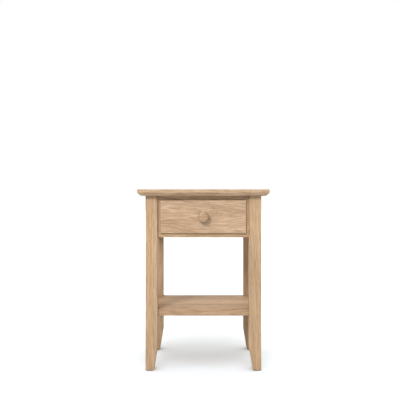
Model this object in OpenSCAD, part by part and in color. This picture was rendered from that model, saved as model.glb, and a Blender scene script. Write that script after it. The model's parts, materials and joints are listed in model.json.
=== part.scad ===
// Nightstand in solid oak: four tapered legs, one lipped drawer and a lower shelf.
// X runs from left to right, -Y is the front and Z is up.
// The origin is on the floor, under the middle of the top.

/* [Overall] */
// Height from the floor to the top face
height = 635; // [520:1:800]
// Width over the outer faces of the legs
case_w = 405; // [320:1:520]
// Depth over the outer faces of the legs
case_d = 312; // [250:1:400]

/* [Top] */
// Thickness of the top
top_t = 22.5; // [19:0.5:30]
// How far the top reaches past the legs, all round
top_overhang = 26.5; // [20:0.5:40]
// Width of the bevel under the edge of the top
bevel_w = 11; // [2:0.5:18]
// Height of the bevel under the edge of the top
bevel_h = 10.5; // [2:0.5:16]

/* [Legs] */
// Side of the square leg
leg_w = 42; // [34:0.5:52]
// Width of the foot across the front, at the end of the taper
foot_w = 28.5; // [22:0.5:33]
// Height at which the taper of the inner face starts
taper_h = 83; // [40:1:160]
// Thickness of the glide under each foot
glide_t = 2; // [1:0.5:5]
// Diameter of the glide under each foot
glide_d = 20; // [10:0.5:22]
// Diameter of the nail of a glide
glide_nail_d = 2.5; // [1.5:0.1:4]
// Length of the nail of a glide
glide_nail_l = 14; // [8:1:25]

/* [Aprons and rails] */
// Height of the aprons
apron_h = 146; // [110:1:200]
// Thickness of the side and back aprons
apron_t = 18; // [14:0.5:22]
// How far the side and back aprons lie behind the outer faces of the legs
apron_inset = 6; // [2:0.5:9]
// How far the drawer frame lies behind the front faces of the legs
frame_inset = 8; // [6.5:0.5:12]
// Height of the front rails, the runners and the kickers
rail_t = 21; // [16:0.5:26]
// Depth of the front rails
rail_d = 45; // [38:1:60]
// Width of the stiles beside the drawer
stile_w = 16.5; // [12:0.5:30]
// Depth of the stiles beside the drawer
stile_d = 20; // [12:0.5:30]
// Height of the drawer guides above the runners
guide_h = 20; // [16:1:35]
// How far the runners and the kickers reach in past the drawer sides
runner_ledge = 8; // [2:0.5:15]

/* [Tenons] */
// Thickness of the tenons
tenon_t = 8; // [5:0.5:10]
// Shoulder at the upper and lower end of the apron tenons
apron_shoulder = 10; // [4:0.5:20]
// Shoulder round the rail tenons
rail_shoulder = 5; // [3:0.5:6]
// Wood left between two tenons that meet in one leg
tenon_web = 3; // [2:0.5:5]
// Gap between a tenon and the sides of its mortise
tenon_gap = 0.1; // [0.05:0.05:0.3]
// Gap between the end of a tenon or a dowel and the end of its hole
end_gap = 1; // [0.5:0.1:1.5]

/* [Shelf] */
// Height of the underside of the shelf
shelf_z = 191; // [165:1:300]
// Thickness of the shelf
shelf_t = 24; // [16:0.5:30]
// How far the front edge of the shelf lies behind the front faces of the legs
shelf_front_inset = 9; // [2:0.5:16]
// How far the back edge of the shelf lies in front of the back faces of the legs
shelf_back_inset = 15; // [2:0.5:18]
// How far the side edges of the shelf lie inside the outer faces of the legs
shelf_side_inset = 6; // [2:0.5:16]
// Diameter of the shelf dowels
dowel_d = 8; // [6:0.5:10]
// Length of a shelf dowel in the leg
dowel_leg_l = 16; // [10:1:22]
// Length of a shelf dowel in the shelf
dowel_shelf_l = 20; // [12:1:30]

/* [Drawer] */
// Thickness of the drawer front with its lip
front_t = 20; // [18:0.5:26]
// Thickness of the lip
lip_t = 6; // [5:0.5:8]
// How far the lip covers the drawer frame, all round
lip_cover = 6.5; // [3:0.5:9]
// Gap between the lip and the drawer frame
lip_gap = 0.5; // [0.3:0.1:1]
// Thickness of the drawer sides
side_t = 12; // [9:0.5:15]
// Thickness of the drawer back
back_t = 12; // [9:0.5:15]
// Thickness of the drawer bottom
bottom_t = 6; // [4:0.5:8]
// Wood left under the groove of the drawer bottom
groove_up = 10; // [7:0.5:12]
// Depth of the groove of the drawer bottom
groove_deep = 6; // [4:0.5:7]
// Gap round the drawer bottom in its groove
groove_gap = 0.1; // [0.05:0.05:0.3]
// Gap between the drawer and each side of its opening
side_gap = 1.5; // [0.5:0.1:3]
// Gap over the drawer sides
top_gap = 3; // [1:0.5:6]
// Gap between the drawer sides and the runners
run_gap = 0.3; // [0.2:0.1:0.5]
// Gap between the drawer and the back apron
rear_gap = 19; // [5:1:60]
// How far the drawer back lies under the top edge of the sides
back_drop = 4; // [1:0.5:10]

/* [Dovetails] */
// Number of dovetails at each corner of the drawer
tail_n = 3; // [2:1:4]
// Width of a pin at its thin end
pin_w = 9; // [6:0.5:12]
// Length of a dovetail in the drawer front
tail_l = 12; // [9:0.5:12]
// Run of a dovetail's slope for a rise of one
tail_slope = 6; // [5:0.5:8]
// Gap between a dovetail and its socket
tail_gap = 0.1; // [0.05:0.05:0.2]

/* [Knob] */
// Diameter of the knob
knob_d = 38; // [28:0.5:42]
// How far the knob stands out from the drawer front
knob_l = 25; // [20:0.5:28]
// Diameter of the foot of the knob
knob_foot_d = 21; // [18:0.5:24]
// Diameter of the neck of the knob
knob_neck_d = 16; // [13:0.5:18]
// Distance from the drawer front to the widest part of the knob
knob_rim_l = 14.5; // [13:0.5:17]
// Width of the knob's flat face
knob_face_d = 22; // [20:0.5:27]
// Height of the dome on the knob's face
knob_dome_h = 1.2; // [0.5:0.1:3]
// How far the knob sits below the middle of the drawer opening
knob_drop = 1; // [0:0.5:10]
// Diameter of the knob's screw
knob_screw_d = 4; // [3:0.5:5]
// Length of the knob's screw in the knob
knob_screw_bite = 13; // [8:0.5:15]
// Diameter of the washer under the knob's screw
washer_d = 12; // [10:0.5:16]
// Thickness of the washer under the knob's screw
washer_t = 1; // [0.5:0.1:2]

/* [Screws] */
// Diameter of the wood screws
screw_d = 4; // [3:0.5:5]
// Diameter of the head of the wood screws
screw_head_d = 8; // [6.5:0.5:10]
// Length of a screw in the piece that it holds on to
screw_bite = 12; // [8:0.5:14]
// Wood left under the heads of the screws in the runners and kickers
screw_grip = 20; // [12:1:30]
// Distance of the upright screws from the ends of the runners and kickers
screw_inset = 30; // [15:1:40]
// Distance of the level screws from the ends of the runners and kickers
side_screw_inset = 65; // [50:1:80]
// Distance of the front rail's screws from the middle
rail_screw_x = 80; // [40:1:110]
// Diameter of the counterbores
counterbore_d = 10; // [9:0.5:12]
// Diameter of the screws under the drawer bottom
small_screw_d = 3; // [2.5:0.1:4]
// Diameter of the head of the screws under the drawer bottom
small_head_d = 5.6; // [5:0.1:8]
// Distance between the screws under the drawer bottom
small_screw_pitch = 90; // [50:1:105]
// Gap between a screw or dowel and its hole
hole_gap = 0.1; // [0.05:0.05:0.2]

/* [Hidden] */
$fn = 64;
// How far a cut runs past the face that it opens
past = 1;

oak = [0.80, 0.66, 0.52];
pale_oak = [0.83, 0.71, 0.57];
ply = [0.86, 0.76, 0.62];
steel = [0.72, 0.73, 0.74];
felt = [0.30, 0.27, 0.24];

// Planes of the case
half_w = case_w / 2;
half_d = case_d / 2;
case_top = height - top_t;
case_low = case_top - apron_h;
leg_in_x = half_w - leg_w;
leg_in_y = half_d - leg_w;
apron_in_x = half_w - apron_inset - apron_t;
apron_in_y = half_d - apron_inset - apron_t;
frame_y = -half_d + frame_inset;
rail_back_y = frame_y + rail_d;
low_rail_top = case_low + rail_t;
high_rail_low = case_top - rail_t;

// Tenons of the aprons lie in the middle of the aprons' thickness
tenon_side = (apron_t - tenon_t) / 2;
tenon_l = leg_w - apron_inset - tenon_side - tenon_t - tenon_web;
rail_tenon_t = rail_t - 2 * rail_shoulder;
rail_tenon_y0 = frame_y + rail_shoulder;
rail_tenon_y1 = min(-leg_in_y, rail_back_y) - rail_shoulder;

// Drawer opening and drawer box
open_x = leg_in_x - stile_w;
box_x = open_x - side_gap;
box_in_x = box_x - side_t;
box_z0 = low_rail_top + run_gap;
box_z1 = high_rail_low - top_gap;
lip_back_y = frame_y - lip_gap;
front_y = lip_back_y - lip_t;
front_back_y = front_y + front_t;
box_end_y = apron_in_y - rear_gap;
bottom_z0 = box_z0 + groove_up + groove_gap;
bottom_z1 = bottom_z0 + bottom_t;
back_z1 = box_z1 - back_drop;
knob_z = (low_rail_top + high_rail_low) / 2 - knob_drop;

// Runners, guides and kickers
runner_x = box_in_x - runner_ledge;
runner_w = apron_in_x - runner_x;
runner_y0 = max(rail_back_y, -leg_in_y);
runner_l = leg_in_y - runner_y0;
upright_screw_y = [runner_y0 + screw_inset, runner_y0 + runner_l - screw_inset];
level_screw_y = [runner_y0 + side_screw_inset, runner_y0 + runner_l - side_screw_inset];
kicker_screw_x = runner_x + runner_w / 2;
guide_screw_x = (open_x + apron_in_x) / 2;
rail_screw_y = frame_y + rail_d / 2;
top_screw_l = rail_t + screw_bite;
guide_screw_l = guide_h + screw_bite;
level_screw_l = screw_grip + screw_bite;
small_screw_l = bottom_t + screw_bite;
small_screw_y = box_end_y - back_t / 2;

// Shelf
shelf_front_y = -half_d + shelf_front_inset;
shelf_back_y = half_d - shelf_back_inset;
dowel_z = shelf_z + shelf_t / 2;
dowel_y = [(shelf_front_y - leg_in_y) / 2, (shelf_back_y + leg_in_y) / 2];

// A block between two opposite corners
module block(low, high) {
    translate(low)
        cube(high - low);
}

// A shape for the right side, and its mirror image for the left
module on_side(side) {
    flip = side == "left" ? 1 : 0;
    mirror([flip, 0, 0])
        children();
}

// A shape for the back, and its mirror image for the front
module at_end(end) {
    flip = end == "front" ? 1 : 0;
    mirror([0, flip, 0])
        children();
}

// Stretches an outline in Y and Z along X
module along_x(l) {
    rotate([90, 0, 90])
        linear_extrude(l)
            children();
}

// Stretches an outline in X and Z along Y
module along_y(l) {
    translate([0, l, 0])
        rotate([90, 0, 0])
            linear_extrude(l)
                children();
}

// A countersunk screw: its head's face is at the origin and its point is at +Z
module wood_screw(d, head_d, l, gap = 0) {
    head_h = (head_d - d) / 2;
    cylinder(h = l + gap, d = d + 2 * gap);
    cylinder(h = head_h, d1 = head_d + 2 * gap, d2 = d + 2 * gap);
}

// The outline of the top or the bevelled edge, half a size either way
module bevelled_edge(half) {
    polygon([
        [-half, height],
        [-half, case_top + bevel_h],
        [-half + bevel_w, case_top],
        [half - bevel_w, case_top],
        [half, case_top + bevel_h],
        [half, height]
    ]);
}

// Places of the upright screws into the top
module at_top_screws() {
    for (side = [-1, 1]) {
        for (y = upright_screw_y)
            translate([side * kicker_screw_x, y, high_rail_low])
                children();
        translate([side * rail_screw_x, rail_screw_y, high_rail_low])
            children();
    }
}

// Places of the level screws into the right side apron, in a runner or a kicker
module at_level_screws(z) {
    for (y = level_screw_y)
        translate([apron_in_x - screw_grip, y, z])
            rotate([0, 90, 0])
                children();
}

// Places of the screws that hold the right guide down on its runner
module at_guide_screws() {
    for (y = upright_screw_y)
        translate([guide_screw_x, y, low_rail_top + guide_h])
            rotate([180, 0, 0])
                children();
}

module top_panel() {
    color(oak)
        difference() {
            intersection() {
                translate([0, -half_d - top_overhang, 0])
                    along_y(case_d + 2 * top_overhang)
                        bevelled_edge(half_w + top_overhang);
                translate([-half_w - top_overhang, 0, 0])
                    along_x(case_w + 2 * top_overhang)
                        bevelled_edge(half_d + top_overhang);
            }
            at_top_screws()
                wood_screw(screw_d, screw_head_d, top_screw_l, hole_gap);
        }
}

// The front of a leg, from its outer face to its tapered inner face
module leg_outline(outer) {
    polygon([
        [outer, glide_t],
        [outer, case_top],
        [outer - leg_w, case_top],
        [outer - leg_w, taper_h],
        [outer - foot_w, glide_t]
    ]);
}

// The tapered blank of the right back leg
module leg_blank() {
    translate([0, leg_in_y, 0])
        along_y(leg_w)
            leg_outline(half_w);
}

// The tenon of the right side apron at the back, grown by a gap all round and at its end
module side_tenon(gap = 0, deeper = 0) {
    x = apron_in_x + tenon_side;
    block(
        [x - gap, leg_in_y, case_low + apron_shoulder - gap],
        [x + tenon_t + gap, leg_in_y + tenon_l + deeper, case_top - apron_shoulder + gap]
    );
}

// The tenon of the back apron on the right
module back_tenon(gap = 0, deeper = 0) {
    y = apron_in_y + tenon_side;
    block(
        [leg_in_x, y - gap, case_low + apron_shoulder - gap],
        [leg_in_x + tenon_l + deeper, y + tenon_t + gap, case_top - apron_shoulder + gap]
    );
}

// The right tenon of a front rail whose underside is at height z
module rail_tenon(z, gap = 0, deeper = 0) {
    block(
        [leg_in_x, rail_tenon_y0 - gap, z + rail_shoulder - gap],
        [leg_in_x + tenon_l + deeper, rail_tenon_y1 + gap, z + rail_shoulder + rail_tenon_t + gap]
    );
}

// A dowel on the right, between shelf and leg
module dowel(y, gap = 0, longer = 0) {
    translate([leg_in_x - dowel_shelf_l - longer, y, dowel_z])
        rotate([0, 90, 0])
            cylinder(h = dowel_shelf_l + dowel_leg_l + 2 * longer, d = dowel_d + 2 * gap);
}

// The glide under the right back foot: a disc and its nail
module glide(gap = 0, longer = 0) {
    translate([half_w - foot_w / 2, half_d - leg_w / 2, 0]) {
        cylinder(h = glide_t, d = glide_d);
        cylinder(h = glide_t + glide_nail_l + longer, d = glide_nail_d + 2 * gap);
    }
}

module back_leg(side) {
    color(oak)
        on_side(side)
            difference() {
                leg_blank();
                side_tenon(tenon_gap, end_gap);
                back_tenon(tenon_gap, end_gap);
                dowel(dowel_y[1], hole_gap, end_gap);
                glide(hole_gap, end_gap);
            }
}

module front_leg(side) {
    color(oak)
        on_side(side)
            difference() {
                at_end("front")
                    difference() {
                        leg_blank();
                        side_tenon(tenon_gap, end_gap);
                        glide(hole_gap, end_gap);
                    }
                rail_tenon(case_low, tenon_gap, end_gap);
                rail_tenon(high_rail_low, tenon_gap, end_gap);
                dowel(dowel_y[0], hole_gap, end_gap);
            }
}

module foot_glide(side, end) {
    color(felt)
        on_side(side)
            at_end(end)
                glide();
}

// A front rail between the legs, with a tenon at each end
module front_rail(z) {
    block([-leg_in_x, frame_y, z], [leg_in_x, rail_back_y, z + rail_t]);
    for (side = ["left", "right"])
        on_side(side)
            rail_tenon(z);
}

module front_bottom_rail() {
    color(oak)
        front_rail(case_low);
}

module front_top_rail() {
    color(oak)
        difference() {
            front_rail(high_rail_low);
            at_top_screws()
                wood_screw(screw_d, screw_head_d, top_screw_l, hole_gap);
        }
}

module front_stile(side) {
    color(oak)
        on_side(side)
            block([open_x, frame_y, low_rail_top], [leg_in_x, frame_y + stile_d, high_rail_low]);
}

module side_apron(side) {
    color(oak)
        on_side(side)
            difference() {
                union() {
                    block(
                        [apron_in_x, -leg_in_y, case_low],
                        [apron_in_x + apron_t, leg_in_y, case_top]
                    );
                    for (end = ["front", "back"])
                        at_end(end)
                            side_tenon();
                }
                for (z = [case_low, high_rail_low])
                    at_level_screws(z + rail_t / 2)
                        wood_screw(screw_d, screw_head_d, level_screw_l, hole_gap);
            }
}

module back_apron() {
    color(oak) {
        block([-leg_in_x, apron_in_y, case_low], [leg_in_x, apron_in_y + apron_t, case_top]);
        for (side = ["left", "right"])
            on_side(side)
                back_tenon();
    }
}

// A bar along the right side apron, with counterbored holes for its level screws
module side_bar(z) {
    counterbore_l = runner_w - screw_grip;
    difference() {
        block([runner_x, runner_y0, z], [apron_in_x, runner_y0 + runner_l, z + rail_t]);
        at_level_screws(z + rail_t / 2) {
            wood_screw(screw_d, screw_head_d, level_screw_l, hole_gap);
            translate([0, 0, -counterbore_l - past])
                cylinder(h = counterbore_l + past, d = counterbore_d);
        }
    }
}

module runner(side) {
    color(pale_oak)
        on_side(side)
            difference() {
                side_bar(case_low);
                at_guide_screws()
                    wood_screw(screw_d, screw_head_d, guide_screw_l, hole_gap);
            }
}

module kicker(side) {
    color(pale_oak)
        on_side(side)
            difference() {
                side_bar(high_rail_low);
                at_top_screws()
                    wood_screw(screw_d, screw_head_d, top_screw_l, hole_gap);
            }
}

module guide(side) {
    color(pale_oak)
        on_side(side)
            difference() {
                block(
                    [open_x, runner_y0, low_rail_top],
                    [apron_in_x, runner_y0 + runner_l, low_rail_top + guide_h]
                );
                at_guide_screws()
                    wood_screw(screw_d, screw_head_d, guide_screw_l, hole_gap);
            }
}

module shelf() {
    edge_x = half_w - shelf_side_inset;
    color(oak)
        difference() {
            union() {
                block([-edge_x, -leg_in_y, shelf_z], [edge_x, leg_in_y, shelf_z + shelf_t]);
                block(
                    [-leg_in_x, shelf_front_y, shelf_z],
                    [leg_in_x, shelf_back_y, shelf_z + shelf_t]
                );
            }
            for (side = ["left", "right"])
                on_side(side)
                    for (y = dowel_y)
                        dowel(y, hole_gap, end_gap);
        }
}

module shelf_dowels() {
    color(pale_oak)
        for (side = ["left", "right"])
            on_side(side)
                for (y = dowel_y)
                    dowel(y);
}

module top_screws() {
    color(steel)
        at_top_screws()
            wood_screw(screw_d, screw_head_d, top_screw_l);
}

module level_screws(z) {
    color(steel)
        for (side = ["left", "right"])
            on_side(side)
                at_level_screws(z + rail_t / 2)
                    wood_screw(screw_d, screw_head_d, level_screw_l);
}

module guide_screws() {
    color(steel)
        for (side = ["left", "right"])
            on_side(side)
                at_guide_screws()
                    wood_screw(screw_d, screw_head_d, guide_screw_l);
}

// A row of dovetails up one end of the right drawer side, wider towards +Y
module tails(z0, z1, l, gap = 0) {
    pitch = (z1 - z0) / tail_n;
    wide = pitch - pin_w;
    narrow = wide - 2 * l / tail_slope;
    translate([box_in_x, 0, z0])
        along_x(side_t)
            for (i = [0 : tail_n - 1])
                translate([0, pitch * (i + 0.5)])
                    polygon([
                        [0, -narrow / 2 - gap],
                        [l, -wide / 2 - gap],
                        [l, wide / 2 + gap],
                        [0, narrow / 2 + gap]
                    ]);
}

// The dovetails into the drawer front, which widen towards the front
module front_tails(gap = 0) {
    translate([0, front_back_y, 0])
        mirror([0, 1, 0])
            tails(box_z0, box_z1, tail_l, gap);
}

// The dovetails through the drawer back
module back_tails(gap = 0) {
    translate([0, box_end_y - back_t, 0])
        tails(bottom_z1, back_z1, back_t, gap);
}

// The space that the drawer bottom's edges fit, in the front and the sides
module bottom_groove() {
    x = box_in_x + groove_deep;
    block(
        [-x, front_back_y - groove_deep, bottom_z0 - groove_gap],
        [x, box_end_y + past, bottom_z1 + groove_gap]
    );
}

module drawer_front() {
    color(oak)
        difference() {
            union() {
                block(
                    [-open_x - lip_cover, front_y, low_rail_top - lip_cover],
                    [open_x + lip_cover, front_y + lip_t, high_rail_low + lip_cover]
                );
                block([-box_x, front_y, box_z0], [box_x, front_back_y, box_z1]);
            }
            for (side = ["left", "right"])
                on_side(side)
                    front_tails(tail_gap);
            bottom_groove();
            translate([0, front_back_y + past, knob_z])
                rotate([90, 0, 0])
                    cylinder(h = front_t + 2 * past, d = knob_screw_d + 2 * hole_gap);
        }
}

module drawer_side(side) {
    color(pale_oak)
        on_side(side)
            difference() {
                union() {
                    difference() {
                        block([box_in_x, front_back_y, box_z0], [box_x, box_end_y, box_z1]);
                        block(
                            [box_in_x - past, box_end_y - back_t, bottom_z1],
                            [box_x + past, box_end_y + past, back_z1]
                        );
                    }
                    front_tails();
                    back_tails();
                }
                bottom_groove();
            }
}

module drawer_back() {
    color(pale_oak)
        difference() {
            block([-box_x, box_end_y - back_t, bottom_z1], [box_x, box_end_y, back_z1]);
            for (side = ["left", "right"])
                on_side(side)
                    back_tails(tail_gap);
            at_small_screws()
                wood_screw(small_screw_d, small_head_d, small_screw_l, hole_gap);
        }
}

module drawer_bottom() {
    x = box_in_x + groove_deep - groove_gap;
    color(ply)
        difference() {
            block(
                [-x, front_back_y - groove_deep + groove_gap, bottom_z0],
                [x, box_end_y, bottom_z1]
            );
            at_small_screws()
                wood_screw(small_screw_d, small_head_d, small_screw_l, hole_gap);
        }
}

// Places of the screws up through the drawer bottom into the drawer back
module at_small_screws() {
    for (i = [-1 : 1])
        translate([i * small_screw_pitch, small_screw_y, bottom_z0])
            children();
}

module drawer_bottom_screws() {
    color(steel)
        at_small_screws()
            wood_screw(small_screw_d, small_head_d, small_screw_l);
}

// Turns what lies along Z so that it points out of the drawer front, on the knob's axis
module on_knob_axis() {
    translate([0, front_y, knob_z])
        rotate([90, 0, 0])
            children();
}

// A quarter ellipse about a centre, from one angle to another, as [radius, length] points
function arc(centre, rx, ry, from, to, steps = 8) = [
    for (i = [0 : steps])
        let (a = from + (to - from) * i / steps)
            [centre[0] + rx * cos(a), centre[1] + ry * sin(a)]
];

// Half the knob's outline: a foot, a hollow neck, a round rim and a low dome
function knob_outline() =
    let (
        foot_r = knob_foot_d / 2,
        neck_r = knob_neck_d / 2,
        rim_r = knob_d / 2,
        face_r = knob_face_d / 2,
        foot_h = 2,
        face_l = knob_l - knob_dome_h,
        cove_l = knob_rim_l - foot_h - 2
    )
    concat(
        [[0, 0], [foot_r, 0]],
        [[foot_r, foot_h]],
        [[neck_r + 1, foot_h + 1]],
        arc([rim_r - 1, foot_h + 1], rim_r - 1 - neck_r, cove_l, 180, 90),
        arc([face_r, knob_rim_l], rim_r - face_r, face_l - knob_rim_l, 0, 90),
        [[face_r * 0.6, knob_l - 0.3 * knob_dome_h], [0, knob_l]]
    );

module knob() {
    color(oak)
        on_knob_axis()
            difference() {
                rotate_extrude()
                    polygon(knob_outline());
                translate([0, 0, -past])
                    cylinder(h = knob_screw_bite + end_gap + past, d = knob_screw_d + 2 * hole_gap);
            }
}

module knob_screw() {
    head_d = 2 * knob_screw_d;
    head_h = 0.7 * knob_screw_d;
    color(steel)
        on_knob_axis()
            translate([0, 0, -front_t - washer_t]) {
                cylinder(h = washer_t + front_t + knob_screw_bite, d = knob_screw_d);
                translate([0, 0, -head_h])
                    cylinder(h = head_h, d = head_d);
            }
}

module knob_washer() {
    color(steel)
        on_knob_axis()
            translate([0, 0, -front_t - washer_t])
                difference() {
                    cylinder(h = washer_t, d = washer_d);
                    translate([0, 0, -past])
                        cylinder(h = washer_t + 2 * past, d = knob_screw_d + 2 * hole_gap);
                }
}

top_panel();
front_leg("left");  // leg_front_left
front_leg("right");  // leg_front_right
back_leg("left");  // leg_back_left
back_leg("right");  // leg_back_right
front_top_rail();
front_bottom_rail();
front_stile("left");  // front_stile_left
front_stile("right");  // front_stile_right
side_apron("left");  // side_apron_left
side_apron("right");  // side_apron_right
back_apron();
runner("left");  // runner_left
runner("right");  // runner_right
guide("left");  // guide_left
guide("right");  // guide_right
kicker("left");  // kicker_left
kicker("right");  // kicker_right
shelf();
shelf_dowels();
top_screws();
level_screws(case_low);  // runner_screws
level_screws(high_rail_low);  // kicker_screws
guide_screws();
foot_glide("left", "front");  // glide_front_left
foot_glide("right", "front");  // glide_front_right
foot_glide("left", "back");  // glide_back_left
foot_glide("right", "back");  // glide_back_right
drawer_front();
drawer_side("left");  // drawer_side_left
drawer_side("right");  // drawer_side_right
drawer_back();
drawer_bottom();
drawer_bottom_screws();
knob();
knob_screw();
knob_washer();
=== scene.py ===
# %% [markdown]
# # An oak nightstand
#
# This notebook finishes a small nightstand in Blender: four tapered legs, a top with a bevel under
# its edge, one lipped drawer with a turned knob, and a shelf near the floor. The joinery comes from
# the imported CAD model, in metres, with Z up and the front towards -Y. The camera comes first, then
# the tools that plane and ease the wood, then the finishes, and then each piece in turn.

import json
import math

import bmesh
import bpy
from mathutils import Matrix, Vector


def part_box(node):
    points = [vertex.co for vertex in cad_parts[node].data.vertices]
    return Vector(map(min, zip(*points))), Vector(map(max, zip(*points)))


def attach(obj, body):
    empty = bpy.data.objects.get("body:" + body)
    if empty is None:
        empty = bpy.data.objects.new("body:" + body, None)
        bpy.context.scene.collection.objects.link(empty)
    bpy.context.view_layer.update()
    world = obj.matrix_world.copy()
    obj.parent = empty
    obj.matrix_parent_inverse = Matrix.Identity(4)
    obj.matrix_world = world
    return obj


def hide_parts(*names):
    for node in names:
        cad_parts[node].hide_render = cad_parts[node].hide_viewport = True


MM = 0.001

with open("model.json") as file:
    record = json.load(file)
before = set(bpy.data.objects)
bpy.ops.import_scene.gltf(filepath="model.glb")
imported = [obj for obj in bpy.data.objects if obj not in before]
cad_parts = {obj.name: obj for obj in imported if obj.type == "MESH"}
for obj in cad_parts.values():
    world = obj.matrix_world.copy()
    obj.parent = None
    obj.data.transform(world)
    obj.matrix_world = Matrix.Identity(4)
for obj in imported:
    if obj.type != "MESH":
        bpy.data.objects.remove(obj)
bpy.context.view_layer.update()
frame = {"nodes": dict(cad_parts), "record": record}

# %% [markdown]
# The camera stands straight in front of the nightstand and looks level, a little below the top, so
# upright edges stay upright. It is about two metres away, which is where a person would stand, so
# the back legs look as much smaller as they do in a room, and from there a lens of 50 mm takes in
# the whole piece. A longer lens from further away would flatten the bay. The lens is shifted a
# hair, which leaves a little more room on the left.

# %% The camera
CAMERA_TO_FRONT = 1.943
CAMERA_HEIGHT = 0.598

legs_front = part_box("leg_front_left")[0].y
view = bpy.data.cameras.new("camera")
view.lens = 50
view.sensor_width = 36
view.shift_x = -0.0085
camera = bpy.data.objects.new("camera", view)
camera.location = (0, legs_front - CAMERA_TO_FRONT, CAMERA_HEIGHT)
camera.rotation_euler = (math.radians(90), 0, 0)
bpy.context.scene.collection.objects.link(camera)
bpy.context.scene.camera = camera
print("camera at", [round(place, 3) for place in camera.location])

# %% [markdown]
# Planed boards meet at crisp corners, and a maker takes those corners off with a few strokes of a
# plane or sandpaper, because a sharp arris bruises and splinters. That small round is what catches
# the light along a real edge. A Bevel modifier would round every sharp edge, and with it the
# shoulders and mortises, which must stay crisp to close. So the edges are chosen by a rule: only an
# edge whose two faces both lie on the outside of the board is eased.
#
# A copy of a CAD mesh is loose triangles, so it is merged and its flat faces are joined first.


# %% Tools that ease a board's edges
FLAT = math.radians(0.5)
CORNER = math.radians(30)
TOUCH = 0.01 * MM


def merged_copy(node):
    """A copy of a CAD node's mesh, with its points merged and its flat faces made whole."""
    shape = bmesh.new()
    shape.from_mesh(frame["nodes"][node].data)
    bmesh.ops.remove_doubles(shape, verts=shape.verts, dist=TOUCH)
    bmesh.ops.dissolve_limit(shape, angle_limit=FLAT, verts=shape.verts, edges=shape.edges)
    return shape


def is_outside(face, points):
    """True if no point of the piece lies in front of this face."""
    spot, normal = face.verts[0].co, face.normal
    return all((point.co - spot).dot(normal) < 5 * TOUCH for point in points)


def outer_arrises(shape, grain=None):
    """The sharp edges between two outer faces, or only those that run with the grain."""
    shape.normal_update()
    outside = {face for face in shape.faces if is_outside(face, shape.verts)}
    found = []
    for edge in shape.edges:
        if len(edge.link_faces) != 2 or not outside.issuperset(edge.link_faces):
            continue
        along = (edge.verts[1].co - edge.verts[0].co).normalized()
        if edge.calc_face_angle() > CORNER and (grain is None or abs(along[grain]) > 0.9):
            found.append(edge)
    return found


def ease(shape, edges, radius, steps=3):
    """Rounds these edges, and shades only the new strips smoothly."""
    made = bmesh.ops.bevel(
        shape,
        geom=edges,
        offset=radius,
        segments=steps,
        profile=0.5,
        affect="EDGES",
        clamp_overlap=True,
    )
    for face in made["faces"]:
        face.smooth = True


def as_object(shape, name, material):
    """Makes an object of a shape that is already in its place."""
    mesh = bpy.data.meshes.new(name)
    shape.to_mesh(mesh)
    shape.free()
    mesh.materials.append(material)
    piece = bpy.data.objects.new(name, mesh)
    bpy.context.scene.collection.objects.link(piece)
    return piece


def fit(piece, node):
    """Puts a finished piece in the place of its CAD node."""
    body = next(b for b, nodes in frame["record"]["behaviour"]["bodies"].items() if node in nodes)
    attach(piece, body)
    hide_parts(node)
    return piece


# %% [markdown]
# A material is a tree of nodes, and its sums are hard to read when each one takes three lines. Here
# a small class stands for a number socket, so that `1 - mask * 0.5` adds the Math nodes by itself.
# A second class holds the tree, with one method that adds any node. The same pair serves for
# Geometry Nodes, whose Math node is the same.


# %% Sums and nodes as plain Python
class Wire:
    """A number in a node tree, which Python's signs can work on."""

    def __init__(self, tree, socket):
        self.tree = tree
        self.socket = socket

    def sum(self, operation, *values):
        inputs = dict(enumerate(values))
        return self.tree.wire("ShaderNodeMath", {"operation": operation}, inputs)

    def __add__(self, other):
        return self.sum("ADD", self, other)

    def __radd__(self, other):
        return self.sum("ADD", other, self)

    def __sub__(self, other):
        return self.sum("SUBTRACT", self, other)

    def __rsub__(self, other):
        return self.sum("SUBTRACT", other, self)

    def __mul__(self, other):
        return self.sum("MULTIPLY", self, other)

    def __rmul__(self, other):
        return self.sum("MULTIPLY", other, self)

    def __truediv__(self, other):
        return self.sum("DIVIDE", self, other)

    def root(self):
        return self.sum("SQRT", self)

    def floor(self):
        return self.sum("FLOOR", self)

    def fraction(self):
        return self.sum("FRACT", self)

    def size(self):
        return self.sum("ABSOLUTE", self)

    def cosine(self):
        return self.sum("COSINE", self)

    def sine(self):
        return self.sum("SINE", self)


class Tree:
    """A node tree, and one way to add any node to it."""

    def __init__(self, tree):
        self.tree = tree

    def add(self, kind, settings=None, inputs=None):
        node = self.tree.nodes.new(kind)
        for name, value in (settings or {}).items():
            setattr(node, name, value)
        for name, value in (inputs or {}).items():
            if isinstance(value, Wire):
                self.tree.links.new(value.socket, node.inputs[name])
            else:
                node.inputs[name].default_value = value
        return node

    def wire(self, kind, settings=None, inputs=None, output=0):
        return Wire(self, self.add(kind, settings, inputs).outputs[output])

    def ramp(self, value, start, end, low=0, high=1, kind="SMOOTHSTEP"):
        settings = {"interpolation_type": kind, "clamp": True}
        inputs = {0: value, 1: start, 2: end, 3: low, 4: high}
        return self.wire("ShaderNodeMapRange", settings, inputs)

    def point(self, x, y, z):
        return self.wire("ShaderNodeCombineXYZ", inputs={0: x, 1: y, 2: z})


# %% [markdown]
# The finishes are built from a few patterns. Noise in stretched space is the base of wood: a noise
# that is long one way and short the other two looks like fibres from the side and like dots from
# the end, as real fibres do. A ramp between two values turns a soft noise into a crisp mask.


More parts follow.
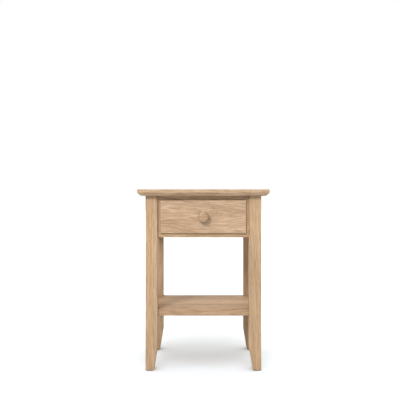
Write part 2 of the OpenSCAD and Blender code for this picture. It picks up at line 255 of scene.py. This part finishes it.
# %% Patterns for the finishes
class Finish(Tree):
    """A material, with the patterns that its maker needs."""

    def __init__(self, name):
        self.material = bpy.data.materials.new(name)
        self.material.use_nodes = True
        super().__init__(self.material.node_tree)
        self.tree.nodes.clear()

    def place(self):
        """The piece's own coordinates in metres, as three numbers."""
        spot = self.wire("ShaderNodeTexCoord", output="Object")
        parts = self.add("ShaderNodeSeparateXYZ", inputs={0: spot})
        return [Wire(self, socket) for socket in parts.outputs]

    def noise(self, x, y, z, detail=2, roughness=0.5):
        spot = self.point(x, y, z)
        inputs = {"Vector": spot, "Scale": 1, "Detail": detail, "Roughness": roughness}
        return self.wire("ShaderNodeTexNoise", inputs=inputs)

    def chance(self, number):
        """A number from 0 to 1 that is the same wherever the given number is the same."""
        return self.wire("ShaderNodeTexWhiteNoise", {"noise_dimensions": "1D"}, {"W": number})

    def mix(self, factor, first, second):
        settings = {"data_type": "RGBA", "clamp_factor": True}
        return self.wire("ShaderNodeMix", settings, {0: factor, 6: first, 7: second}, output=2)

    def finish(self, colour, roughness, height=None, depth=0.1 * MM, plain=None):
        """Joins the patterns to the shader. What is the same all over is set on its sockets."""
        inputs = {"Base Color": colour, "Roughness": roughness}
        if height is not None:
            bump = {"Height": height, "Distance": depth, "Strength": 1}
            inputs["Normal"] = self.wire("ShaderNodeBump", inputs=bump)
        shader = self.wire("ShaderNodeBsdfPrincipled", inputs={**inputs, **(plain or {})})
        self.add("ShaderNodeOutputMaterial", inputs={"Surface": shader})
        return self.material


# %% [markdown]
# Oak grows in rings: a line of wide pores each spring, then dense, smooth summer wood. A board cuts
# through those rings, so its face shows arches where the cut is flat and stripes where it is
# upright. The finish is made in the same way. It measures each point's distance from the middle of
# the tree, which lies outside the board, bends that distance with slow noise, because no trunk is
# straight, and reads the rings from it. The end of the board then shows the same rings as arcs,
# without a seam. A flat picture of wood on each side couldn't do that.
#
# The bands over several rings carry most of what the eye sees from across a room. Pores, fibres and
# the pale flecks of the rays show up close. The wood is left almost matt, as with a hard wax oil.

# %% Oak
OAK_PALE = (0.440, 0.294, 0.173, 1)
OAK_ROSY = (0.466, 0.325, 0.208, 1)
OAK_DEEP = (0.262, 0.161, 0.089, 1)
OAK_SPRING = (0.250, 0.151, 0.080, 1)
OAK_PORE = (0.150, 0.085, 0.042, 1)
OAK_FLECK = (0.460, 0.328, 0.208, 1)
OAK_SHINE = 0.2
RING = 3.4 * MM
BEND = 50 * MM  # how far slow noise pushes the rings sideways
RIPPLE = 9 * MM  # how far quicker noise pushes them again
LEAN = 0.03  # how much the trunk leans against the board's length


def oak(
    name, grain, middle, pith, seed,
    pale=OAK_PALE, tone=0.0, figure=1.0, board_width=None, polish=0.0,
):
    """Solid oak with the grain along one axis. The pith lies off the piece's middle, in mm."""
    wood = Finish(name)
    place = wood.place()
    across, through = (grain + 1) % 3, (grain + 2) % 3
    along = place[grain]
    wide, deep = place[across] - middle[across], place[through] - middle[through]
    # This lightens or darkens the whole piece. It is the wood's own tone for the knob and the
    # unoiled parts, and painted shade for the back legs and the shelf, which stand under the case.
    shade = tone
    if board_width:
        board = wide / board_width + 0.5
        lot, slide, lean = (wood.chance(board.floor() + seed + turn) for turn in (0.1, 0.3, 0.7))
        shade = (lot - 0.5) * 0.5 + tone
        along = along + slide * 2.3
        wide = (board.fraction() - 0.5 + (lean - 0.5) * 0.8) * board_width
    start = along + seed * 0.37

    bend_wide = wood.noise(start * 1.7, wide * 6, deep * 6, detail=2)
    bend_deep = wood.noise(start * 1.7 + 31, wide * 6, deep * 6, detail=2)
    ripple = wood.noise(start * 9, wide * 26, deep * 26, detail=3)
    from_wide = wide - pith[0] * MM + (bend_wide - 0.5) * (BEND * figure) + along * LEAN
    from_deep = deep - pith[1] * MM + (bend_deep - 0.5) * (BEND * figure)
    far = (from_wide * from_wide + from_deep * from_deep).root()
    far = far + (ripple - 0.5) * (RIPPLE * figure)

    year = (far / RING).fraction()
    spring = wood.ramp(year, 0, 0.45, 1, 0) + wood.ramp(year, 0.90, 1)
    band = wood.noise(start * 3.5, far * 260, seed, detail=4, roughness=0.65)
    cloud = wood.noise(start * 3.1, wide * 11, deep * 11, detail=2)
    streak = wood.noise(start * 26, wide * 320, deep * 320, detail=2, roughness=0.6)
    dash = wood.ramp(wood.noise(start * 55 + 3, wide * 560, deep * 560, detail=1), 0.62, 0.74)
    fibre = wood.noise(start * 42, wide * 900, deep * 900, detail=3, roughness=0.6)
    pore = wood.ramp(wood.noise(start * 95, wide * 1900, deep * 1900, detail=1), 0.60, 0.72)
    pore = pore * (spring * 0.75 + 0.25)
    fleck = wood.ramp(wood.noise(start * 30 + 7, wide * 210, deep * 210, detail=2), 0.60, 0.74)

    light = (band - 0.5) * 2.2 + (cloud - 0.5) * 1.0 + (streak - 0.5) * 1.9 + shade + 0.55
    colour = wood.mix(light, OAK_DEEP, pale)
    colour = wood.mix(spring * 0.22, colour, OAK_SPRING)
    colour = wood.mix(fleck * 0.22, colour, OAK_FLECK)
    colour = wood.mix(pore * 0.6, colour, OAK_PORE)
    colour = wood.mix(dash * 0.38, colour, OAK_PORE)
    rough = 0.56 - polish + spring * 0.06 + pore * 0.14 - fleck * 0.08
    shine = {"Specular IOR Level": OAK_SHINE + polish}
    height = fibre * 0.35 - spring * 0.2 - pore * 0.9
    return wood.finish(colour, rough, height, depth=0.16 * MM, plain=shine)


# %% [markdown]
# The top and the shelf are glued up from boards about nine centimetres wide, and every other piece
# is one board. A seed makes each board its own, as no two in a shop match, and the pith says how it
# was cut: a pith straight before or behind a face gives it arches, and one off to the side gives
# stripes. Legs are chosen with plain stripes, and the drawer front, which the eye rests on, with
# the liveliest figure. One material for all would be quicker, but its rings would run on from piece
# to piece through every joint.
#
# The long edges of every board are eased by one or two millimetres, and the lip of the drawer front
# by a little more. A tenoned rail keeps sharp ends where its shoulders close against the leg, and
# the rule above leaves them alone, because a tenon stands in front of its shoulder. The runners,
# guides and kickers that the drawer slides between, and the inside of the drawer itself, are left
# unoiled, so they are a shade paler. The back legs and the shelf are made a little darker, which is
# painted shade for the shadow of the case above them.

# %% Wooden pieces
X, Y, Z = 0, 1, 2


def wooden(node, grain, pith, seed, radius=1.2 * MM, ends=False, slot="oak", **look):
    """A piece of solid wood: a merged copy of its CAD node, eased and given its own grain."""
    shape = merged_copy(node)
    ease(shape, outer_arrises(shape, None if ends else grain), radius)
    low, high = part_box(node)
    finish = oak("oak_" + node, grain, (low + high) / 2, pith, seed, **look)
    piece = as_object(shape, node + "_finished", finish)
    fit(piece, node)
    print(f"{node}: {len(piece.data.polygons)} faces")
    return piece


wooden("top_panel", X, (0, -60), 1, radius=1.4 * MM, ends=True, board_width=0.095, pale=OAK_ROSY)
for side, seed in (("left", 2), ("right", 3)):
    wooden("leg_front_" + side, Z, (70, -55), seed, radius=1.6 * MM, ends=True)
    # The back legs are made a little darker: painted shade, for the shadow of the case over the bay
    # where they stand.
    wooden("leg_back_" + side, Z, (-80, 60), seed + 2, radius=1.6 * MM, ends=True, tone=-0.1)
    wooden("side_apron_" + side, Y, (20, 90), seed + 4)
    wooden("front_stile_" + side, Z, (60, 40), seed + 6)
    for part, offset in (("runner_", 8), ("guide_", 10), ("kicker_", 12)):
        wooden(part + side, Y, (50, 60), seed + offset, slot="pale_oak", tone=0.15)
    wooden("drawer_side_" + side, Y, (10, 70), seed + 14, slot="pale_oak", tone=0.2)
wooden("front_top_rail", X, (60, 30), 20)
wooden("front_bottom_rail", X, (60, -40), 21)
wooden("back_apron", X, (90, 15), 22)
# The shelf is made a little darker: painted shade, for the shadow that the case casts on its top.
wooden("shelf", X, (0, 70), 23, radius=2.2 * MM, ends=True, board_width=0.088, tone=-0.06)
wooden("drawer_front", X, (-75, 12), 41, radius=2.6 * MM, ends=True, figure=1.6, pale=OAK_ROSY)
wooden("drawer_back", X, (80, 20), 25, slot="pale_oak", tone=0.2)

# %% [markdown]
# The knob comes off a lathe, and the washer and the glides are stamped round, so each of them is
# one outline swept round an axis. A Screw modifier could sweep it, but a loop of rings closes the
# poles by itself, and drills the blind hole for a screw in the same pass. A rounded corner is part
# of an ellipse, and a washer's outline closes on itself, so its hole goes right through.


# %% Turned work
def arc(centre, radii, start, end, steps=12):
    """Part of an ellipse about a centre, as points of (radius, reach)."""
    turns = (math.radians(start + (end - start) * step / steps) for step in range(steps + 1))
    return [
        (centre[0] + radii[0] * math.cos(turn), centre[1] + radii[1] * math.sin(turn))
        for turn in turns
    ]


def turned(outline, spot, axis, steps=96, ring=False):
    """An outline of (radius, reach) points, in metres, swept round an axis through a spot."""
    axis = Vector(axis)
    side = axis.orthogonal().normalized()
    up = axis.cross(side)
    turns = [math.tau * step / steps for step in range(steps)]
    shape = bmesh.new()
    rows = []
    for radius, reach in outline:
        middle = Vector(spot) + axis * reach
        if radius < TOUCH:
            rows.append([shape.verts.new(middle)] * steps)
            continue
        rim = [side * math.cos(turn) + up * math.sin(turn) for turn in turns]
        rows.append([shape.verts.new(middle + out * radius) for out in rim])
    for low, high in zip(rows, rows[1:] + rows[:1] if ring else rows[1:]):
        for step in range(steps):
            after = (step + 1) % steps
            corners = dict.fromkeys((low[step], low[after], high[after], high[step]))
            if len(corners) > 2:
                shape.faces.new(corners)
    bmesh.ops.recalc_face_normals(shape, faces=shape.faces)
    return shape


def smoothed(piece, crease=35):
    """Smooth shading that stops at the creases."""
    piece.data.shade_smooth()
    piece.data.set_sharp_from_angle(angle=math.radians(crease))
    return piece


# %% [markdown]
# The knob has a short foot, a hollow neck that the fingers close behind, a rim, and a shoulder that
# rolls over into a low dome. The roll of the shoulder is what gives the knob its highlight, so it
# has many rings, and the dome takes over where their slopes are equal. A turned piece is sanded
# finer than a board, and hands polish it, so the same oak is a shade darker here and shines more.

# %% The knob
KNOB_LENGTH = 25 * MM
KNOB_FOOT = (10.5 * MM, 2 * MM)
KNOB_NECK = 8 * MM
KNOB_RIM = (19 * MM, 14.5 * MM)
KNOB_FACE = 11 * MM
KNOB_SHOULDER = (KNOB_RIM[0] - KNOB_FACE, 9.3 * MM)
KNOB_BORE = (2.1 * MM, 14 * MM)
KNOB_ROUND = 0.5 * MM
KNOB_LAND = 1 * MM  # the flat ring at each end of the cove
BLEND = 79.4  # degrees round the shoulder, where its slope is the dome's

knob_low, knob_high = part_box("knob")
knob_middle = (knob_low + knob_high) / 2
cove_start = KNOB_FOOT[1] + KNOB_LAND
cove_middle = (KNOB_RIM[0] - KNOB_LAND, cove_start)
cove_size = (cove_middle[0] - KNOB_NECK, KNOB_RIM[1] - KNOB_LAND - cove_start)
foot_round = (KNOB_FOOT[0] - KNOB_ROUND, KNOB_FOOT[1] - KNOB_ROUND)
shoulder = arc((KNOB_FACE, KNOB_RIM[1]), KNOB_SHOULDER, 0, BLEND, 20)
brow, dome_start = shoulder[-1]
dome = [
    (brow * (1 - step / 10), KNOB_LENGTH - (KNOB_LENGTH - dome_start) * (1 - step / 10) ** 2)
    for step in range(1, 11)
]
knob_outline = [
    (0, KNOB_BORE[1]),
    (KNOB_BORE[0], KNOB_BORE[1]),
    (KNOB_BORE[0], 0),
    (KNOB_FOOT[0], 0),
    *arc(foot_round, (KNOB_ROUND, KNOB_ROUND), 0, 90, 4),
    (KNOB_NECK + KNOB_LAND, cove_start),
    *arc(cove_middle, cove_size, 180, 90, 16),
    *shoulder,
    *dome,
]
knob_foot = (knob_middle.x, knob_high.y, knob_middle.z)
knob_shape = turned(knob_outline, knob_foot, (0, -1, 0))
knob_wood = oak("oak_knob", X, knob_middle, (-18, 40), 31, polish=0.3, tone=-0.4)
knob = fit(smoothed(as_object(knob_shape, "knob_finished", knob_wood)), "knob")
print("knob, mm:", [round(side / MM, 1) for side in knob_high - knob_low])

# %% [markdown]
# Zinc plate is what keeps cheap screws bright. It isn't a mirror: drawing the wire and plating it
# leaves a slight grain, and the plate's tint drifts between blue and straw. Inside the drawer a
# washer spreads the pull of the knob's screw, and it is stamped, so one rim is rounded.

# %% Steel, and the washer
ZINC_BLUE = (0.50, 0.53, 0.57, 1)
ZINC_STRAW = (0.60, 0.57, 0.50, 1)
WASHER_HOLE = 2.1 * MM
WASHER_ROUND = 0.3 * MM

plate = Finish("zinc_plated_steel")
plate_x, plate_y, plate_z = plate.place()
drift = plate.noise(plate_x * 60, plate_y * 60, plate_z * 60, detail=3)
scratch = plate.noise(plate_x * 2500, plate_y * 2500, plate_z * 300, detail=2)
zinc_colour = plate.mix(drift, ZINC_BLUE, ZINC_STRAW)
steel = plate.finish(zinc_colour, 0.26 + scratch * 0.2, scratch, 0.01 * MM, {"Metallic": 1})

washer_low, washer_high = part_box("knob_washer")
washer_size = (washer_high - washer_low) / 2
washer_rim = washer_size.x
washer_t = washer_size.y * 2
washer_edge = (washer_rim - WASHER_ROUND, WASHER_ROUND)
washer_outline = [
    (WASHER_HOLE, washer_t),
    (WASHER_HOLE, 0),
    *arc(washer_edge, (WASHER_ROUND, WASHER_ROUND), -90, 0, 4),
    (washer_rim, washer_t),
]
washer_back = (knob_middle.x, washer_high.y, knob_middle.z)
washer_shape = turned(washer_outline, washer_back, (0, -1, 0), steps=64, ring=True)
washer = smoothed(as_object(washer_shape, "knob_washer_finished", steel))
fit(washer, "knob_washer")
print("washer, mm:", round(washer_rim * 2 / MM, 1), "x", round(washer_t / MM, 1))

# %% [markdown]
# Felt glides are pressed discs on a nail. They let the nightstand slide without marking the floor.
# The felt's rim is worn round, and its fibres lie every way, so it is a fine, even noise with a
# deep bump. The nail goes up into the foot and is bright, so one rule on height changes the finish.

# %% Felt glides
FELT_DARK = (0.050, 0.042, 0.034, 1)
FELT_LIGHT = (0.115, 0.098, 0.080, 1)
NAIL_COLOUR = (0.55, 0.56, 0.57, 1)
GLIDE_THICK = 2 * MM
GLIDE_ROUND = 0.7 * MM
NAIL_RADIUS = 1.25 * MM
NAIL_POINT = 3 * MM

pile = Finish("felt_glide")
pile_x, pile_y, pile_z = pile.place()
hair = pile.noise(pile_x * 1400, pile_y * 1400, pile_z * 1400, detail=4, roughness=0.7)
is_nail = pile.ramp(pile_z, GLIDE_THICK + 0.02 * MM, GLIDE_THICK + 0.05 * MM)
felt_colour = pile.mix(is_nail, pile.mix(hair, FELT_DARK, FELT_LIGHT), NAIL_COLOUR)
felt_metal = {"Metallic": is_nail, "Specular IOR Level": 0.2}
felt_rough = 0.95 - is_nail * 0.6
felt = pile.finish(felt_colour, felt_rough, hair * (1 - is_nail), 0.3 * MM, felt_metal)

for foot in ("front_left", "front_right", "back_left", "back_right"):
    glide_low, glide_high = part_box("glide_" + foot)
    glide_rim = (glide_high.x - glide_low.x) / 2
    worn = (glide_rim - GLIDE_ROUND, GLIDE_ROUND)
    glide_outline = [
        (0, 0),
        *arc(worn, (GLIDE_ROUND, GLIDE_ROUND), -90, 0, 6),
        (glide_rim, GLIDE_THICK),
        (NAIL_RADIUS, GLIDE_THICK),
        (NAIL_RADIUS, glide_high.z - NAIL_POINT),
        (0, glide_high.z),
    ]
    glide_spot = ((glide_low.x + glide_high.x) / 2, (glide_low.y + glide_high.y) / 2, 0)
    glide_shape = turned(glide_outline, glide_spot, (0, 0, 1), steps=48)
    fit(smoothed(as_object(glide_shape, f"glide_{foot}_finished", felt)), "glide_" + foot)
print("glides at", round(glide_rim * 2 / MM, 1), "mm across")

# %% [markdown]
# Screws and dowels repeat, so Geometry Nodes make them. Each is a flat grid wrapped round an axis:
# a point's place across the grid becomes its turn, and its place along the grid chooses where it is
# on the outline. Every size is a named input of the tree, so one tree makes long screws for the
# top, short ones for the drawer bottom, and the round-headed one in the knob. The places come from
# the CAD solids, one point for each, which carries its own turn.


# %% Tools for what repeats
class Pattern(Tree):
    """A Geometry Nodes tree that wraps a grid round an axis and puts it at every point."""

    def __init__(self, name, sizes, around, along):
        super().__init__(bpy.data.node_groups.new(name, "GeometryNodeTree"))
        sockets = self.tree.interface
        sockets.new_socket("Geometry", in_out="INPUT", socket_type="NodeSocketGeometry")
        sockets.new_socket("Geometry", in_out="OUTPUT", socket_type="NodeSocketGeometry")
        for size in sizes:
            sockets.new_socket(size, in_out="INPUT", socket_type="NodeSocketFloat")
        given = self.add("NodeGroupInput").outputs
        self.points = Wire(self, given[0])
        self.sizes = [Wire(self, given[size]) for size in sizes]
        counts = {"Size X": 1, "Size Y": 1, "Vertices X": around + 1, "Vertices Y": along + 1}
        self.grid = self.wire("GeometryNodeMeshGrid", inputs=counts)
        position = self.wire("GeometryNodeInputPosition")
        place = self.add("ShaderNodeSeparateXYZ", inputs={0: position})
        self.turn = (Wire(self, place.outputs[0]) + 0.5) * math.tau
        self.share = Wire(self, place.outputs[1]) + 0.5

    def part(self, start, end, low=0, high=1):
        """Grows from low to high while the share along the grid goes from start to end."""
        return self.ramp(self.share, start, end, low, high, kind="LINEAR")

    def wrap(self, radius, reach, material):
        spot = self.point(radius * self.turn.cosine(), radius * self.turn.sine(), reach)
        bent = {"Geometry": self.grid, "Position": spot}
        skin = self.wire("GeometryNodeSetPosition", inputs=bent)
        closed = {"Geometry": skin, "Distance": TOUCH}
        shape = self.wire("GeometryNodeMergeByDistance", inputs=closed)
        turn = {"data_type": "FLOAT_VECTOR"}
        turn = self.wire("GeometryNodeInputNamedAttribute", turn, {"Name": "turn"})
        turn = self.wire("FunctionNodeEulerToRotation", inputs={0: turn})
        copies = {"Points": self.points, "Instance": shape, "Rotation": turn}
        copies = self.wire("GeometryNodeInstanceOnPoints", inputs=copies)
        whole = self.wire("GeometryNodeRealizeInstances", inputs={0: copies})
        made = {"Geometry": whole, "Material": material}
        made = self.wire("GeometryNodeSetMaterial", inputs=made)
        self.add("NodeGroupOutput", inputs={0: made})


def solids(node):
    """The lowest and highest corner of each separate solid in a CAD node, from left to right."""
    shape = merged_copy(node)
    left = set(shape.verts)
    boxes = []
    while left:
        found = [left.pop()]
        for point in found:
            near = {edge.other_vert(point) for edge in point.link_edges} & left
            found.extend(near)
            left -= near
        sides = [[point.co[axis] for point in found] for axis in (X, Y, Z)]
        boxes.append([Vector(pick(side) for side in sides) for pick in (min, max)])
    shape.free()
    return sorted(boxes, key=lambda box: tuple(box[0]))


def repeat(pattern, node, spots, sizes):
    """Runs a pattern on points, each a place and a direction, and keeps a plain mesh of it."""
    cloud = bpy.data.meshes.new(node + "_places")
    cloud.from_pydata([spot for spot, _ in spots], [], [])
    turns = cloud.attributes.new("turn", "FLOAT_VECTOR", "POINT")
    for item, (_, way) in zip(turns.data, spots):
        item.vector = Vector(way).to_track_quat("Z", "Y").to_euler()
    maker = bpy.data.objects.new(node + "_maker", cloud)
    bpy.context.scene.collection.objects.link(maker)
    modifier = maker.modifiers.new("pattern", "NODES")
    modifier.node_group = pattern.tree
    for socket in pattern.tree.interface.items_tree:
        if socket.name in sizes:
            modifier[socket.identifier] = float(sizes[socket.name])
    ready = maker.evaluated_get(bpy.context.evaluated_depsgraph_get())
    mesh = bpy.data.meshes.new_from_object(ready)
    bpy.data.objects.remove(maker)
    piece = bpy.data.objects.new(node + "_finished", mesh)
    bpy.context.scene.collection.objects.link(piece)
    print(f"{node}: {len(spots)} made, {len(mesh.polygons)} faces")
    return fit(smoothed(piece), node)


# %% [markdown]
# A wood screw has a plain neck under its head, so that it pulls two boards together, and then a
# thread. The thread is one line: how far a point is along the screw, less its turn, repeats once
# every pitch. The cross in the head is a dip where a point lies close to either of two lines.

# %% Screws
SCREW_SIZES = ("Length", "Shank", "Head", "Cone", "Dome", "Tip", "Plain", "Pitch")
HEAD_END, CONE_END, TIP_START = 0.10, 0.14, 0.95
THREAD_DEPTH = 0.16
CROSS_REACH, CROSS_HALF, CROSS_DEPTH = 0.32, 0.075, 0.22

screws = Pattern("screw", SCREW_SIZES, around=32, along=120)
length, shank, head, cone, dome_up, tip, plain, pitch = screws.sizes
across_head = screws.part(0, HEAD_END)
reach = cone * screws.part(HEAD_END, CONE_END)
reach = reach + (length - tip - cone) * screws.part(CONE_END, TIP_START)
reach = reach + tip * screws.part(TIP_START, 1)
radius = head * 0.5 * across_head
radius = radius - (head - shank) * 0.5 * screws.part(HEAD_END, CONE_END)
threaded = screws.ramp(reach, plain, plain + pitch) * screws.part(CONE_END, CONE_END + 0.01)
groove = (reach / pitch - screws.turn * (1 / math.tau)).fraction() - 0.5
groove = (0.5 - groove.size()) * 2 * threaded
radius = (radius - shank * THREAD_DEPTH * groove) * screws.part(TIP_START, 1, 1, 0)
arm_wall = head * CROSS_HALF, head * CROSS_HALF * 1.6
arm_x = screws.ramp((radius * screws.turn.cosine()).size(), *arm_wall, 1, 0)
arm_y = screws.ramp((radius * screws.turn.sine()).size(), *arm_wall, 1, 0)
cross = arm_x + arm_y - arm_x * arm_y
cross = cross * screws.ramp(radius, head * CROSS_REACH, head * CROSS_REACH * 0.8)
cross = cross * screws.part(HEAD_END, HEAD_END + 0.001, 1, 0)
crown = (1 - across_head * across_head).root() * dome_up
screws.wrap(radius, reach - crown + cross * head * CROSS_DEPTH, steel)


def put_screws(node, way, kind):
    """Threaded screws in the places of a CAD node's plain ones. way() says where each points."""
    dome = kind["Dome"]
    spots = []
    for low, high in solids(node):
        middle, half = (low + high) / 2, (high - low) / 2
        point = Vector(way(middle))
        half_length = abs(half.dot(point))
        spots.append((middle - point * (half_length - dome), point))
    across = 2 * min(half)
    cone = 0 if dome else (across - kind["Shank"]) / 2
    found = {"Length": 2 * half_length - dome, "Head": across, "Cone": cone}
    repeat(screws, node, spots, kind | found)


def up(middle):
    return 0, 0, 1


def down(middle):
    return 0, 0, -1


def forward(middle):
    return 0, -1, 0


def outward(middle):
    return math.copysign(1, middle.x), 0, 0


def screw_kind(shank, pitch, plain, tip, dome=0.0):
    """The sizes of one kind of screw, in mm."""
    sizes = {"Shank": shank, "Pitch": pitch, "Plain": plain, "Tip": tip, "Dome": dome}
    return {name: size * MM for name, size in sizes.items()}


WOOD_SCREW = screw_kind(shank=4, pitch=2, plain=11, tip=4.5)
SMALL_SCREW = screw_kind(shank=3, pitch=1.4, plain=6, tip=3)
KNOB_SCREW = screw_kind(shank=4, pitch=1.4, plain=20, tip=0.6, dome=2.8)
put_screws("top_screws", up, WOOD_SCREW)
put_screws("guide_screws", down, WOOD_SCREW)
put_screws("runner_screws", outward, WOOD_SCREW)
put_screws("kicker_screws", outward, WOOD_SCREW)
put_screws("drawer_bottom_screws", up, SMALL_SCREW)
put_screws("knob_screw", forward, KNOB_SCREW)

# %% [markdown]
# Dowels hold the shelf between the legs. A bought dowel is beech, with flutes pressed along it so
# that glue and air can get out of a blind hole, and a small bevel at each end to find that hole.
# They can't be seen once the shelf is up, but they show when the pieces are taken apart.

# %% Dowels
DOWEL_SIZES = ("Length", "Diameter", "Bevel", "Flutes", "Flute depth")
BEECH_PALE = (0.520, 0.355, 0.225, 1)
BEECH_DEEP = (0.400, 0.255, 0.155, 1)

beech = Finish("beech_dowel")
beech_x, beech_y, beech_z = beech.place()
beech_fibre = beech.noise(beech_x * 60, beech_y * 1300, beech_z * 1300, detail=3)
beech_colour = beech.mix(beech_fibre, BEECH_DEEP, BEECH_PALE)
beech_wood = beech.finish(beech_colour, 0.55 + beech_fibre * 0.1, beech_fibre, 0.1 * MM)

dowels = Pattern("dowel", DOWEL_SIZES, around=64, along=25)
length, across, bevel, flutes, flute_depth = dowels.sizes
flat = across * 0.5 - bevel
rise = flat * dowels.part(0, 0.12) + bevel * dowels.part(0.12, 0.20)
fall = bevel * dowels.part(0.80, 0.88) + flat * dowels.part(0.88, 1)
fluted = dowels.part(0.12, 0.20) * dowels.part(0.80, 0.88, 1, 0)
flute = ((dowels.turn * flutes).cosine() + 1) * 0.5 * flute_depth * fluted
reach = bevel * dowels.part(0.12, 0.20) + bevel * dowels.part(0.80, 0.88)
reach = reach + (length - bevel * 2) * dowels.part(0.20, 0.80)
dowels.wrap(rise - fall - flute, reach, beech_wood)

dowel_boxes = solids("shelf_dowels")
dowel_low, dowel_high = dowel_boxes[0]
dowel_sizes = {"Length": dowel_high.x - dowel_low.x, "Diameter": dowel_high.z - dowel_low.z}
dowel_sizes |= {"Bevel": 1 * MM, "Flutes": 16, "Flute depth": 0.4 * MM}
dowel_spots = [((low.x, *(low.yz + high.yz) / 2), (1, 0, 0)) for low, high in dowel_boxes]
repeat(dowels, "shelf_dowels", dowel_spots, dowel_sizes)

# %% [markdown]
# The drawer bottom is thin plywood in a groove, because a solid board would swell and burst the
# drawer. Its faces are one sheet of peeled birch, with a broad, faint figure, and its edge shows
# the plies. A rule on height gives the plies, so they run right through, as the real ones do.

# %% The drawer bottom
PLIES = 5
BIRCH_PALE = (0.560, 0.430, 0.285, 1)
BIRCH_DEEP = (0.470, 0.345, 0.215, 1)
PLY_END = (0.300, 0.200, 0.115, 1)

ply_low, ply_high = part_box("drawer_bottom")
sheet = Finish("birch_plywood")
sheet_x, sheet_y, sheet_z = sheet.place()
peel = sheet.noise(sheet_x * 5, sheet_y * 70, sheet_z * 70, detail=4, roughness=0.6)
veneer = sheet.mix((peel - 0.5) * 2.4 + 0.5, BIRCH_DEEP, BIRCH_PALE)
ply_count = (sheet_z - ply_low.z) * (PLIES / (ply_high.z - ply_low.z))
crossed = sheet.ramp((ply_count * 0.5).fraction(), 0.48, 0.52)
grit = sheet.noise(sheet_x * 900, sheet_y * 900, sheet_z * 900, detail=2)
sheet_colour = sheet.mix(crossed * (grit * 0.5 + 0.5), veneer, PLY_END)
sheet_finish = sheet.finish(sheet_colour, 0.6 + peel * 0.1, peel + grit * 0.2, 0.05 * MM)
sheet_shape = merged_copy("drawer_bottom")
ease(sheet_shape, outer_arrises(sheet_shape), 0.3 * MM, steps=2)
fit(as_object(sheet_shape, "drawer_bottom_finished", sheet_finish), "drawer_bottom")
print("drawer bottom:", PLIES, "plies in", round((ply_high.z - ply_low.z) / MM, 1), "mm")

# %% [markdown]
# The light comes from a bright room: even from above and behind, and dim from low in front, where
# the camera stands. That dim side is what lets the recesses and the bevel go dark. An even room
# would light them as much as the faces. Only the camera sees the white backdrop, so the backdrop
# can be plain while the room has its dim side. The room is a touch warm and the lamps a touch cool,
# as they are where lamps stand in for daylight. A wide soft box in front, stood for by a broad Sun
# so that it lights the far floor as much as the near, fills the faces. A second Sun is the ceiling,
# and a smaller lamp up on the left gives the drawer and the knob their shape.

# %% The studio
ROOM_LIGHT = 1.30
ROOM_TINT = (1, 0.975, 0.94, 1)
LAMP_TINT = (0.98, 1, 1.04)
BOX_POWER = 0.9
BOX_ANGLE = 45
BOX_FROM = (-0.05, -0.77, 0.64)
CEILING_POWER = 0.5
CEILING_ANGLE = 35
CEILING_FROM = (0, -0.30, 0.95)
KEY_POWER = 55
KEY_SIZE = 0.8
KEY_FROM = (-1.05, -2.0, 1.95)
KEY_TO = (0, 0, 0.42)


def lamp(name, kind, power, spot, aim=(0, 0, 0), **settings):
    """A light at one place that shines at another."""
    data = bpy.data.lights.new(name, kind)
    data.energy = power
    data.color = LAMP_TINT
    for setting, value in settings.items():
        setattr(data, setting, value)
    light = bpy.data.objects.new(name, data)
    light.location = spot
    light.rotation_euler = (Vector(aim) - Vector(spot)).to_track_quat("-Z", "Y").to_euler()
    bpy.context.scene.collection.objects.link(light)
    print(name, "at", [round(place, 2) for place in light.location], "with", power)
    return light


world = bpy.data.worlds.new("studio")
world.use_nodes = True
world.node_tree.nodes.clear()
room = Tree(world.node_tree)
looking = room.add("ShaderNodeSeparateXYZ", inputs={0: room.wire("ShaderNodeTexCoord")})
side, depth, height = (Wire(room, looking.outputs[axis]) for axis in (0, 1, 2))
dim_front = room.ramp(height * 1.2 + depth * 0.8 - side * 0.15, -0.5, 0.6)
lit = room.wire(
    "ShaderNodeBackground", inputs={"Color": ROOM_TINT, "Strength": dim_front * ROOM_LIGHT}
)
white = room.wire("ShaderNodeBackground", inputs={"Color": (1, 1, 1, 1), "Strength": 1.0})
seen = room.wire("ShaderNodeLightPath", output="Is Camera Ray")
backdrop = room.wire("ShaderNodeMixShader", inputs={0: seen, 1: lit, 2: white})
room.add("ShaderNodeOutputWorld", inputs={"Surface": backdrop})
bpy.context.scene.world = world
lamp("soft_box", "SUN", BOX_POWER, BOX_FROM, angle=math.radians(BOX_ANGLE))
lamp("ceiling", "SUN", CEILING_POWER, CEILING_FROM, angle=math.radians(CEILING_ANGLE))
key = lamp("key", "AREA", KEY_POWER, KEY_FROM, KEY_TO, shape="DISK", size=KEY_SIZE)
bpy.context.scene.view_settings.view_transform = "Standard"

# %% [markdown]
# The floor is a plain pale sheet, almost matt, that runs far past the nightstand on every side, so
# that none of its edges shows. It is a little blue, because the room's light is warm and the sheet
# should look white. The small lamp is kept off it by light linking, because its shadow would draw
# the eye from the nightstand. The floor is only the stage, and isn't part of the piece.

# %% The floor
FLOOR_TONE = (0.87, 0.93, 0.98)
FLOOR_REACH = 30  # metres from the middle to each edge

paper = Finish("studio_floor")
paper_place = paper.place()
paper_speck = paper.noise(paper_place[0] * 40, paper_place[1] * 40, 0, detail=2)
paper_dark, paper_light = ([part + turn for part in FLOOR_TONE] + [1] for turn in (-0.01, 0.01))
paper_colour = paper.mix(paper_speck, paper_dark, paper_light)
paper.finish(paper_colour, 0.9, plain={"Specular IOR Level": 0.1})

floor_shape = bmesh.new()
bmesh.ops.create_grid(floor_shape, x_segments=1, y_segments=1, size=FLOOR_REACH)
floor = as_object(floor_shape, "floor", paper.material)
print("floor, m:", FLOOR_REACH * 2, "across")

unlit = bpy.data.collections.new("not_lit_by_key")
unlit.objects.link(floor)
key.light_linking.receiver_collection = unlit
unlit.collection_objects[0].light_linking.link_state = "EXCLUDE"
